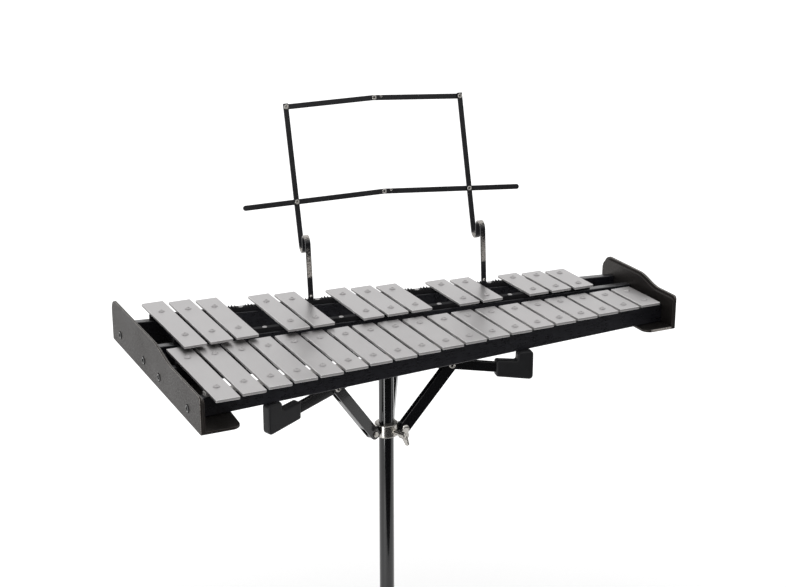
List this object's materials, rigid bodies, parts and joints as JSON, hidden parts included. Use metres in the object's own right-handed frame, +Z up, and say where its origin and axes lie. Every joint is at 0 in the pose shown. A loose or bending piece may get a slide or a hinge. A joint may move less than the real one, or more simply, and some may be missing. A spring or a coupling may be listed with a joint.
{
  "type": "metallophone",
  "caption": "Metallophone with a natural and an accidental row of flat bars on tapering rails between end plates, a folding music rest and a height-adjustable folding tripod stand.",
  "frame": {"origin": "centre of the kit's bounding box, on the floor", "axes": "+X along the rows from the long bars to the short ones, +Y away from the player, +Z up"},
  "size_m": [0.6156, 0.5286, 0.8851],
  "materials": {
    "bar_aluminium": "satin",
    "rail_black_lacquer": "satin black lacquer",
    "plate_black_moulding": "fine-grained black",
    "black_painted_steel": "semi-gloss black"
  },
  "bodies": {
    "stand": {"stand_tube": "black_painted_steel"},
    "post": {"stand_post": "black_painted_steel"},
    "slider": {"basket_slider": "black_painted_steel"},
    "hub": {"brace_hub": "black_painted_steel"},
    "instrument": {"bar_F5": "bar_aluminium", "bar_Fs5": "bar_aluminium", "bar_G5": "bar_aluminium", "bar_Gs5": "bar_aluminium", "bar_A5": "bar_aluminium", "bar_As5": "bar_aluminium", "bar_B5": "bar_aluminium", "bar_C6": "bar_aluminium", "bar_Cs6": "bar_aluminium", "bar_D6": "bar_aluminium", "bar_Ds6": "bar_aluminium", "bar_E6": "bar_aluminium", "bar_F6": "bar_aluminium", "bar_Fs6": "bar_aluminium", "bar_G6": "bar_aluminium", "bar_Gs6": "bar_aluminium", "bar_A6": "bar_aluminium", "bar_As6": "bar_aluminium", "bar_B6": "bar_aluminium", "bar_C7": "bar_aluminium", "bar_Cs7": "bar_aluminium", "bar_D7": "bar_aluminium", "bar_Ds7": "bar_aluminium", "bar_E7": "bar_aluminium", "bar_F7": "bar_aluminium", "bar_Fs7": "bar_aluminium", "bar_G7": "bar_aluminium", "bar_Gs7": "bar_aluminium", "bar_A7": "bar_aluminium", "bar_As7": "bar_aluminium", "bar_B7": "bar_aluminium", "bar_C8": "bar_aluminium", "rail_natural_front": "rail_black_lacquer", "rail_natural_rear": "rail_black_lacquer", "rail_accidental_front": "rail_black_lacquer", "rail_accidental_rear": "rail_black_lacquer", "end_plate_left": "plate_black_moulding", "end_plate_right": "plate_black_moulding"},
    "rest_left": {"rest_upright_left": "black_painted_steel"},
    "rest_right": {"rest_upright_right": "black_painted_steel"},
    "rest_top_left": {"rest_top_bar_left": "black_painted_steel"},
    "rest_top_right": {"rest_top_bar_right": "black_painted_steel"},
    "rest_lower_left": {"rest_lower_bar_left": "black_painted_steel"},
    "rest_lower_right": {"rest_lower_bar_right": "black_painted_steel"},
    "arm_left": {"basket_arm_left": "black_painted_steel"},
    "strut_left": {"basket_strut_left": "black_painted_steel"},
    "arm_right": {"basket_arm_right": "black_painted_steel"},
    "strut_right": {"basket_strut_right": "black_painted_steel"},
    "arm_rear": {"basket_arm_rear": "black_painted_steel"},
    "strut_rear": {"basket_strut_rear": "black_painted_steel"},
    "leg_front": {"leg_front": "black_painted_steel"},
    "brace_front": {"brace_front": "black_painted_steel"},
    "leg_right": {"leg_right": "black_painted_steel"},
    "brace_right": {"brace_right": "black_painted_steel"},
    "leg_left": {"leg_left": "black_painted_steel"},
    "brace_left": {"brace_left": "black_painted_steel"}
  },
  "joints": [
    {"name": "stand_height", "type": "slide", "parent": "stand", "child": "post", "axis": [0, 0, 1], "range_m": [-0.1, 0.1]},
    {"name": "basket_fold", "type": "slide", "parent": "post", "child": "slider", "axis": [0, 0, -1], "range_m": [0, 0.0556]},
    {"name": "arm_left_fold", "type": "hinge", "parent": "post", "child": "arm_left", "pos_m": [-0.05417, 0.04113, 0.642], "axis": [0.3074, -0.9516, 0], "range_deg": [0, 55.4]},
    {"name": "strut_left_fold", "type": "hinge", "parent": "slider", "child": "strut_left", "pos_m": [-0.05607, 0.04052, 0.56577], "axis": [-0.3074, 0.9516, 0], "range_deg": [0, 23.47]},
    {"name": "arm_right_fold", "type": "hinge", "parent": "post", "child": "arm_right", "pos_m": [-0.01935, 0.04338, 0.642], "axis": [0.1822, 0.9833, 0], "range_deg": [0, 55.4]},
    {"name": "strut_right_fold", "type": "hinge", "parent": "slider", "child": "strut_right", "pos_m": [-0.01738, 0.04302, 0.56577], "axis": [-0.1822, -0.9833, 0], "range_deg": [0, 23.47]},
    {"name": "arm_rear_fold", "type": "hinge", "parent": "post", "child": "arm_rear", "pos_m": [-0.02703, 0.06162, 0.642], "axis": [-0.831, 0.5563, 0], "range_deg": [0, 55.4]},
    {"name": "strut_rear_fold", "type": "hinge", "parent": "slider", "child": "strut_rear", "pos_m": [-0.02592, 0.06328, 0.56577], "axis": [0.831, -0.5563, 0], "range_deg": [0, 23.47]},
    {"name": "leg_front_fold", "type": "hinge", "parent": "stand", "child": "leg_front", "pos_m": [-0.03704, 0.02567, 0.3], "axis": [1, 0, 0], "range_deg": [0, 32]},
    {"name": "leg_right_fold", "type": "hinge", "parent": "stand", "child": "leg_right", "pos_m": [-0.01886, 0.05717, 0.3], "axis": [-0.5, 0.866, 0], "range_deg": [0, 32.1]},
    {"name": "leg_left_fold", "type": "hinge", "parent": "stand", "child": "leg_left", "pos_m": [-0.05523, 0.05717, 0.3], "axis": [-0.5, -0.866, 0], "range_deg": [0, 32.1]},
    {"name": "hub_slide", "type": "slide", "parent": "stand", "child": "hub", "axis": [0, 0, -1], "range_m": [0, 0.0623]},
    {"name": "brace_front_fold", "type": "hinge", "parent": "hub", "child": "brace_front", "pos_m": [-0.03704, 0.02567, 0.12733], "axis": [-1, 0, 0], "range_deg": [0, 32.1]},
    {"name": "brace_right_fold", "type": "hinge", "parent": "hub", "child": "brace_right", "pos_m": [-0.01886, 0.05717, 0.12733], "axis": [0.5, -0.866, 0], "range_deg": [0, 32.1]},
    {"name": "brace_left_fold", "type": "hinge", "parent": "hub", "child": "brace_left", "pos_m": [-0.05523, 0.05717, 0.12733], "axis": [0.5, 0.866, 0], "range_deg": [0, 32.1]},
    {"name": "instrument_lift", "type": "slide", "parent": "post", "child": "instrument", "axis": [0, 0, 1], "range_m": [0, 0.2]},
    {"name": "rest_lift", "type": "slide", "parent": "instrument", "child": "rest_left", "axis": [-0.0352, 0.0052, 0.9994], "range_m": [0, 0.3]},
    {"name": "rest_top_left_fold", "type": "hinge", "parent": "rest_left", "child": "rest_top_left", "pos_m": [-0.05944, 0.26197, 0.87718], "axis": [-0.1455, -0.9589, 0.2436], "range_deg": [0, 68.2]},
    {"name": "rest_top_right_fold", "type": "hinge", "parent": "rest_top_left", "child": "rest_top_right", "pos_m": [0.04222, 0.2476, 0.88135], "axis": [-0.1455, -0.9589, 0.2436], "range_deg": [-136.4, 0]},
    {"name": "rest_right_fold", "type": "hinge", "parent": "rest_top_right", "child": "rest_right", "pos_m": [0.14356, 0.23117, 0.87718], "axis": [-0.1455, -0.9589, 0.2436], "range_deg": [0, 68.2]},
    {"name": "rest_lower_left_fold", "type": "hinge", "parent": "rest_left", "child": "rest_lower_left", "pos_m": [-0.05947, 0.23563, 0.77347], "axis": [-0.1455, -0.9589, 0.2436], "range_deg": [0, 68.2]},
    {"name": "rest_lower_right_fold", "type": "hinge", "parent": "rest_lower_left", "child": "rest_lower_right", "pos_m": [0.04219, 0.22126, 0.77765], "axis": [-0.1455, -0.9589, 0.2436], "range_deg": [-136.4, 0]}
  ],
  "couplings": [
    {"joint": "arm_left_fold", "follows": "basket_fold", "rad_per_m": 17.359},
    {"joint": "strut_left_fold", "follows": "basket_fold", "rad_per_m": 7.3371},
    {"joint": "arm_right_fold", "follows": "basket_fold", "rad_per_m": 17.359},
    {"joint": "strut_right_fold", "follows": "basket_fold", "rad_per_m": 7.3371},
    {"joint": "arm_rear_fold", "follows": "basket_fold", "rad_per_m": 17.359},
    {"joint": "strut_rear_fold", "follows": "basket_fold", "rad_per_m": 7.3371},
    {"joint": "leg_right_fold", "follows": "leg_front_fold", "ratio": 1},
    {"joint": "leg_left_fold", "follows": "leg_front_fold", "ratio": 1},
    {"joint": "hub_slide", "follows": "leg_front_fold", "m_per_rad": 0.11118},
    {"joint": "brace_front_fold", "follows": "leg_front_fold", "ratio": 1},
    {"joint": "brace_right_fold", "follows": "leg_front_fold", "ratio": 1},
    {"joint": "brace_left_fold", "follows": "leg_front_fold", "ratio": 1},
    {"joint": "rest_top_left_fold", "follows": "rest_lift", "rad_per_m": 3.96},
    {"joint": "rest_top_right_fold", "follows": "rest_lift", "rad_per_m": -7.92},
    {"joint": "rest_right_fold", "follows": "rest_lift", "rad_per_m": 3.96},
    {"joint": "rest_lower_left_fold", "follows": "rest_lift", "rad_per_m": 3.96},
    {"joint": "rest_lower_right_fold", "follows": "rest_lift", "rad_per_m": -7.92}
  ]
}
